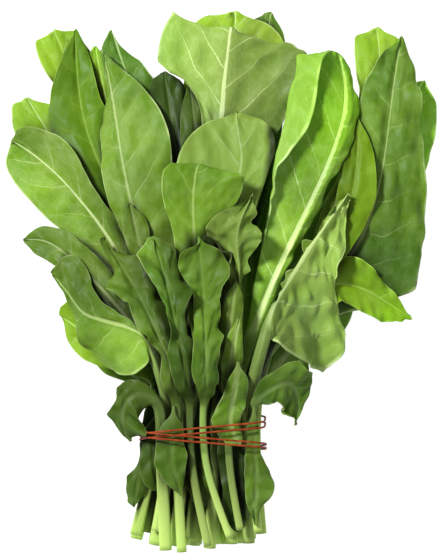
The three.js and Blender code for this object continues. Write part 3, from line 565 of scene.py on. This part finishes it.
def new_piece(name, mesh, material, slot, *replaced):
    piece = bpy.data.objects.new(name, mesh)
    scene.collection.objects.link(piece)
    mesh.materials.clear()
    mesh.materials.append(material)
    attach(piece, "root")
    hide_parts(*replaced)
    return piece


def smoothed(cage, levels):
    """The cage's mesh after that many rounds of subdivision."""
    mesh = bpy.data.meshes.new("cage")
    cage.to_mesh(mesh)
    cage.free()
    holder = bpy.data.objects.new("cage", mesh)
    scene.collection.objects.link(holder)
    finer = holder.modifiers.new("finer", "SUBSURF")
    finer.levels = finer.render_levels = levels
    bpy.context.view_layer.update()
    result = bpy.data.meshes.new_from_object(holder.evaluated_get(bpy.context.evaluated_depsgraph_get()))
    bpy.data.objects.remove(holder)
    bpy.data.meshes.remove(mesh)
    return result


def read(mesh, name, width):
    values = np.empty(len(mesh.vertices) * width, dtype=np.float32)
    mesh.attributes[name].data.foreach_get("vector" if width == 3 else "value", values)
    return values.reshape(-1, width) if width > 1 else values


def write(mesh, name, *columns):
    """Gives each point three numbers under this name. A column is one number or one for each point."""
    values = np.empty((len(mesh.vertices), 3), dtype=np.float32)
    for i in range(3):
        values[:, i] = columns[i] if i < len(columns) else 0
    mesh.attributes.new(name, "FLOAT_VECTOR", "POINT").data.foreach_set("vector", values.ravel())


def places_of(mesh):
    """The mesh's points, a row for each."""
    places = np.empty(len(mesh.vertices) * 3, dtype=np.float32)
    mesh.vertices.foreach_get("co", places)
    return places.reshape(-1, 3)


def crinkles(across, along, rng, creased=False):
    """Uneven dents about one millimetre deep, from waves that cross in many directions. Creased ones
    have sharp valleys."""
    rise = np.zeros_like(across)
    for _ in range(CRINKLE_WAVES):
        bearing = rng.uniform(0, math.tau)
        pitch = rng.uniform(*CRINKLE_PITCH)
        turn = (across * math.cos(bearing) + along * math.sin(bearing)) * math.tau / pitch
        wave = np.sin(turn + rng.uniform(0, math.tau))
        rise += (2 * np.abs(wave) - 1 if creased else wave) * pitch / CRINKLE_PITCH[1]
    return rise * 2 / CRINKLE_WAVES


def vein_steps(across, along, rng):
    """Counts the side veins on each side of the midrib. The line of one is where this is a whole number
    and a half."""
    away = np.abs(across)
    slant = away * (BRANCH_SLANT + BRANCH_CURVE * away)
    branch = along - slant + BRANCH_WANDER * crinkles(across, along, rng)
    return branch / VEIN_SPACING + BRANCH_STAGGER * (across > 0) + rng.uniform(0, 1)


def room_beside(mesh, name):
    """How far each point may move with and against its upper side, in millimetres, before it has used
    half of the gap to the next leaf."""
    tree = search_tree(name)
    places = places_of(mesh)
    ends = np.empty(len(mesh.edges) * 2, dtype=np.int32)
    mesh.edges.foreach_get("vertices", ends)
    ends = ends.reshape(-1, 2)
    steps = np.linalg.norm(places[ends[:, 0]] - places[ends[:, 1]], axis=1) / MM * ROOM_SLOPE
    upward = read(mesh, "upward", 3)
    middle = places - upward * read(mesh, "face", 1)[:, None] * HALF_THICKNESS * MM
    rooms = []
    for way in (upward, -upward):
        room = np.full(len(places), ROOM_REACH, dtype=np.float64)
        for i, (place, direction) in enumerate(zip(middle.tolist(), way.tolist())):
            distance = tree.ray_cast(place, direction, ROOM_REACH * MM)[3]
            if distance is not None:
                room[i] = distance / MM
        for _ in range(ROOM_PASSES):
            np.minimum.at(room, ends[:, 0], room[ends[:, 1]] + steps)
            np.minimum.at(room, ends[:, 1], room[ends[:, 0]] + steps)
        rooms.append(np.maximum(0.0, (room - HALF_THICKNESS) / 2 - LEAST_GAP))
    return rooms


def uneven(along, across, steps, rng):
    """A broken line along each margin that swings between -1 and 1 and turns at uneven steps."""
    values = np.zeros_like(along)
    for side in (across < 0, across >= 0):
        knots = [-5.0]
        while knots[-1] < along.max():
            knots.append(knots[-1] + rng.uniform(*steps))
        swings = [rng.uniform(-1, 1) for _ in knots]
        values[side] = np.interp(along[side], knots, swings)
    return values


def ruffle(mesh, name, look, seed):
    """Waves and frays the margins, crinkles the blade, swells it between its veins, folds it along the
    midrib and points its tip. Only the moves up and down stop at the room beside the leaf: a margin
    that goes out sideways can meet what lies there, and two leaves run into the bands that way."""
    across, along, out = read(mesh, "measures", 3).T
    rng = random.Random(seed)
    step = vein_steps(across, along, rng)
    swell = np.abs(np.cos(math.pi * step)) * eased(out, 0.04, 0.25) * (1 - eased(out, 0.75, 1))
    write(mesh, "pattern", step, look["rib"], swell)
    side = np.where(across > 0, rng.uniform(0, 6), rng.uniform(0, 6))
    turn = math.tau * along / look["pitch"]
    blade = eased(along, *BLADE_START)
    wave = sum(height * np.sin(rate * turn + shift * side) for height, rate, shift in MARGIN_WAVES)
    margin = look["ruffle"] * out ** 2.5 * wave * blade
    dents = crinkles(across, along, rng, creased=True)
    crinkle = look["crinkle"] * dents * blade * eased(out, 0.02, 0.3)
    fold = look["fold"] * np.abs(across) * blade
    rise = margin + crinkle + fold + look["swell"] * swell * blade
    above, below = room_beside(mesh, name)
    rise = np.clip(rise, -below, above)
    lobes = uneven(along, across, [share * look["pitch"] for share in LOBE_STEPS], rng)
    fray = look["ragged"] * out ** 2 * lobes * blade
    before_tip = eased(along.max() - along, 0, TIP_LENGTH)
    point = look["point"] * np.abs(across) * (1 - before_tip)
    wider = look["wider"] * (across < 0) * out ** 2 * eased(along, *WIDENING) * before_tip
    places = places_of(mesh)
    places += read(mesh, "upward", 3) * rise[:, None] * MM
    places += read(mesh, "outward", 3) * (fray - point + wider)[:, None] * MM
    mesh.vertices.foreach_set("co", places.ravel())


# light: how bright it is, partly its own tone and partly painted light and shade for where it lies;
# lean: how much brighter on its left than on its right, painted light and shade for how its sides face
# the light; and low: how much darker the lower blade is, painted shade. open: how open it lies at
# least, which lightens its painted shade. veins: how pale they are, and rib: how wide the midrib is.
# sunny and sunny_tip: how fresh and yellow a green all of it and its tip are, partly a green of its
# own and partly painted glow of light coming through it.
# ruffle: how high its margins wave, pitch: how long the waves are, ragged: how uneven its outline is.
# crinkle: how dented the blade is, swell: how far it stands up between the veins, fold: how steeply it
# folds along the midrib, point: how far the tip is drawn in, wider: how far the left margin goes out.
USUAL_LOOK = {
    "light": 1.0, "lean": 0.0, "low": 0.22, "open": 0.0,
    "veins": 0.7, "rib": 1.0, "sunny": 0.0, "sunny_tip": 0.0,
    "ruffle": 0.8, "pitch": 30, "ragged": 0.8,
    "crinkle": 0.8, "swell": 0.6, "fold": 0.0, "point": 0.3, "wider": 0.0,
}
LEAF_LOOKS = {
    "top_centre_leaf": {
        "light": 1.14, "lean": -0.2, "open": 0.7, "veins": 1.2, "rib": 1.6, "crinkle": 0.9, "wider": 4.2},
    "top_back_leaf": {"light": 1.1, "veins": 1.0},
    "pale_left_tip_leaf": {"light": 1.05, "veins": 0.8},
    "upper_left_leaf": {"light": 0.6, "lean": -0.1, "sunny": 1.0, "veins": 0.4, "fold": 0.2},
    "left_flap_leaf": {"light": 0.95, "sunny": 0.4},
    "left_sliver_leaf": {"light": 1.1, "sunny": 0.7},
    "left_leaf": {"light": 0.96, "lean": 0.2, "veins": 1.0, "fold": 0.2, "crinkle": 0.8},
    "upper_left_front_leaf": {"light": 1.0, "veins": 0.5, "ragged": 1.4, "crinkle": 0.8},
    "dark_left_back_leaf": {"light": 1.15, "ragged": 1.4},
    "centre_back_leaf": {"light": 0.86, "sunny": 0.25},
    "centre_front_leaf": {"light": 0.86, "sunny": 0.4, "veins": 0.5, "crinkle": 0.8},
    "right_centre_leaf": {
        "light": 1.3, "low": -0.2, "open": 0.9,
        "veins": 0.9, "rib": 1.0, "sunny_tip": 0.8, "point": 0.0},
    "inner_right_leaf": {"light": 0.6, "lean": -0.35, "low": 0.5, "sunny": 1.0, "rib": 0.6},
    "far_right_leaf": {
        "light": 1.08, "lean": 0.08, "ruffle": 2.0, "ragged": 1.6, "crinkle": 1.8, "fold": 0.1},
    "far_right_flap_leaf": {"light": 1.1},
    "far_right_back_leaf": {"light": 1.6, "open": 0.7},
    "right_skirt_leaf": {
        "light": 1.1, "sunny": 0.8, "veins": 0.5, "rib": 0.6, "ragged": 2.4, "ruffle": 1.6, "pitch": 20},
    "crumpled_right_leaf": {
        "light": 1.15, "lean": 0.2, "open": 0.8, "veins": 0.7,
        "ruffle": 2.8, "pitch": 20, "ragged": 4.0, "crinkle": 3.2, "swell": 1.2},
    "crumpled_centre_leaf": {
        "light": 0.75, "veins": 0.4, "sunny": 0.3,
        "ruffle": 1.8, "pitch": 18, "ragged": 2.4, "crinkle": 2.2},
    "left_drooping_leaf": {
        "light": 0.68, "lean": 0.3, "low": -0.2, "veins": 0.8, "rib": 0.7, "sunny": 0.25,
        "ruffle": 1.4, "ragged": 2.0, "crinkle": 1.0},
    "left_low_tip_leaf": {"light": 0.65, "crinkle": 0.9},
    "left_low_bright_leaf": {"light": 0.9, "sunny": 0.6},
    "mid_left_low_leaf": {
        "light": 0.54, "lean": 0.35, "low": 0.1, "veins": 0.1,
        "ruffle": 2.4, "ragged": 4.2, "crinkle": 1.6, "swell": 0.3, "fold": 0.25, "point": 0.6},
    "mid_left_leaf": {
        "light": 0.8, "lean": 0.5, "low": 0.45, "veins": 0.08,
        "ruffle": 2.2, "ragged": 3.4, "crinkle": 1.6, "swell": 0.3, "fold": 0.25, "point": 0.6},
    "centre_low_leaf": {
        "light": 0.84, "lean": 0.15, "low": -0.1, "veins": 0.1,
        "ruffle": 2.0, "ragged": 3.2, "crinkle": 1.6, "swell": 0.3, "fold": 0.2, "point": 0.5},
    "centre_strip_leaf": {"light": 0.65, "veins": 0.3, "ruffle": 1.2, "swell": 0.3},
    "small_left_leaf": {"light": 0.55, "veins": 0.3},
    "left_sprig_leaf": {
        "light": 0.5, "veins": 0.2,
        "ruffle": 1.4, "pitch": 16, "ragged": 2.0, "crinkle": 1.4, "swell": 0.3, "wider": 8.5},
    "light_strip_leaf": {"light": 0.9, "veins": 0.4, "ruffle": 1.2, "swell": 0.3},
    "right_low_leaf": {
        "light": 0.85, "veins": 0.3, "ruffle": 1.4, "pitch": 18, "ragged": 2.6, "crinkle": 1.4},
    "inner_dark_leaf": {"light": 0.4, "veins": 0.3},
    "inner_narrow_leaf": {"light": 0.38, "veins": 0.3},
    "caught_leaf_1": {"light": 0.55},
    "caught_leaf_2": {"light": 0.5},
    "caught_leaf_3": {"light": 0.6},
    "caught_leaf_4": {"light": 0.55},
    "caught_leaf_5": {"light": 0.75},
    "caught_leaf_6": {"light": 1.0, "veins": 0.3, "ragged": 1.2},
    "caught_leaf_7": {"light": 0.78},
}
CAUGHT_LOOK = {
    "veins": 0.1, "ruffle": 1.0, "pitch": 22, "ragged": 2.2, "crinkle": 1.0, "swell": 0.3, "point": 0.0,
}
HIDDEN = "under_leaf"
CAUGHT = "caught_leaf"
# Painted light and shade: the width over which a leaf's painted side shade changes, and the shares of the
# blade over which its lower part is painted darker.
SIDE_SHADE_WIDTH = 6  # millimetres from the midrib
SHADED_LOW_BLADE = (0.25, 0.7)  # shares of the blade's length: up to the first it is low, past the other not
# Shares of the blade's length over which the painted glow on the tip comes in.
TIP_SHARE = (0.5, 0.75)
LEAF_SEED = 900


def grow_leaf(name, node, slot, index):
    levels = COARSE if name.startswith(HIDDEN) else FINE
    mesh = smoothed(leaf_cage(node), levels)
    usual = {**USUAL_LOOK, **CAUGHT_LOOK} if name.startswith(CAUGHT) else USUAL_LOOK
    look = {**usual, **LEAF_LOOKS.get(name, {})}
    ruffle(mesh, name, look, index)
    across, along, _ = read(mesh, "measures", 3).T
    share = along / along.max()
    # Painted light and shade: each leaf's own brightness, one side lighter than the other, and the lower
    # blade darker.
    light = look["light"] * (1 - look["lean"] * np.tanh(across / SIDE_SHADE_WIDTH))
    light *= 1 - look["low"] * (1 - eased(share, *SHADED_LOW_BLADE))
    # The sunny tint: partly a fresher green of the leaf's own, and on the tip painted glow of light
    # coming through it.
    sunny = look["sunny"] + look["sunny_tip"] * eased(share, *TIP_SHARE)
    seed = random.Random(LEAF_SEED + index).random()
    write(mesh, "looks", read(mesh, "face", 1), light, seed)
    # Its third number is how open each point lies, which the material turns into painted shade.
    write(mesh, "tints_and_shade", look["veins"], sunny, np.maximum(look["open"], read(mesh, "open", 1)))
    for name_used_up in ("face", "open", "upward", "outward"):
        mesh.attributes.remove(mesh.attributes[name_used_up])
    mesh.shade_smooth()
    mesh.set_sharp_from_angle(angle=SHARP)
    new_piece("fine_" + name, mesh, LEAF_MATERIALS[slot], slot, name)


SLOTS = {part["node"]: part["material_slot"] for part in frame["record"]["subparts"]}
for index, (name, node) in enumerate(sorted(frame["nodes"].items())):
    if SLOTS[name] in LEAF_MATERIALS:
        grow_leaf(name, node, SLOTS[name], index)


# The rubber bands: round strands on the frame's own lines

for name, node in frame["nodes"].items():
    if SLOTS[name] == "rubber_band":
        strand = bmesh.new()
        strand.from_mesh(node.data)
        bmesh.ops.remove_doubles(strand, verts=strand.verts, dist=WELD)
        mesh = smoothed(strand, BAND_ROUNDS)
        mesh.shade_smooth()
        new_piece("fine_" + name, mesh, RUBBER, "rubber_band", name)


# Light and table

TABLE_HALF = 3
TABLE_DROP = 0.3 * MM  # how far the table top lies below the lowest solid
WORLD_LIGHT = 0.23


def new_light(name, place, size, watts):
    """A round light that faces the bunch."""
    data = bpy.data.lights.new(name, "AREA")
    data.shape = "DISK"
    data.size = size
    data.energy = watts
    light = bpy.data.objects.new(name, data)
    light.location = place
    light.rotation_euler = (-Vector(place)).to_track_quat("-Z", "Y").to_euler()
    scene.collection.objects.link(light)


def table_material():
    """A pale table top. Its own faint light keeps it white under the window, as in the photo."""
    material = bpy.data.materials.new("pale table")
    material.use_nodes = True
    skin = material.node_tree.nodes["Principled BSDF"]
    looks = {
        "Base Color": (0.3, 0.3, 0.3, 1), "Roughness": 0.7,
        "Emission Color": WHITE, "Emission Strength": 0.92}
    for socket, value in looks.items():
        skin.inputs[socket].default_value = value
    return material


new_light("window", place=(-1.1, 0.8, 1.5), size=0.4, watts=52)
new_light("fill", place=(1.2, -0.6, 1.4), size=1.2, watts=6)

world = bpy.data.worlds.new("room")
world.use_nodes = True
background = world.node_tree.nodes["Background"]
background.inputs["Color"].default_value = WHITE
background.inputs["Strength"].default_value = WORLD_LIGHT
scene.world = world
scene.view_settings.view_transform = "Standard"

table = bmesh.new()
bmesh.ops.create_grid(table, x_segments=1, y_segments=1, size=TABLE_HALF)
bmesh.ops.translate(table, verts=table.verts, vec=(0, 0, -TABLE_DROP))
table_mesh = bpy.data.meshes.new("table")
table.to_mesh(table_mesh)
table.free()
table_top = bpy.data.objects.new("table", table_mesh)
scene.collection.objects.link(table_top)
table_mesh.materials.append(table_material())
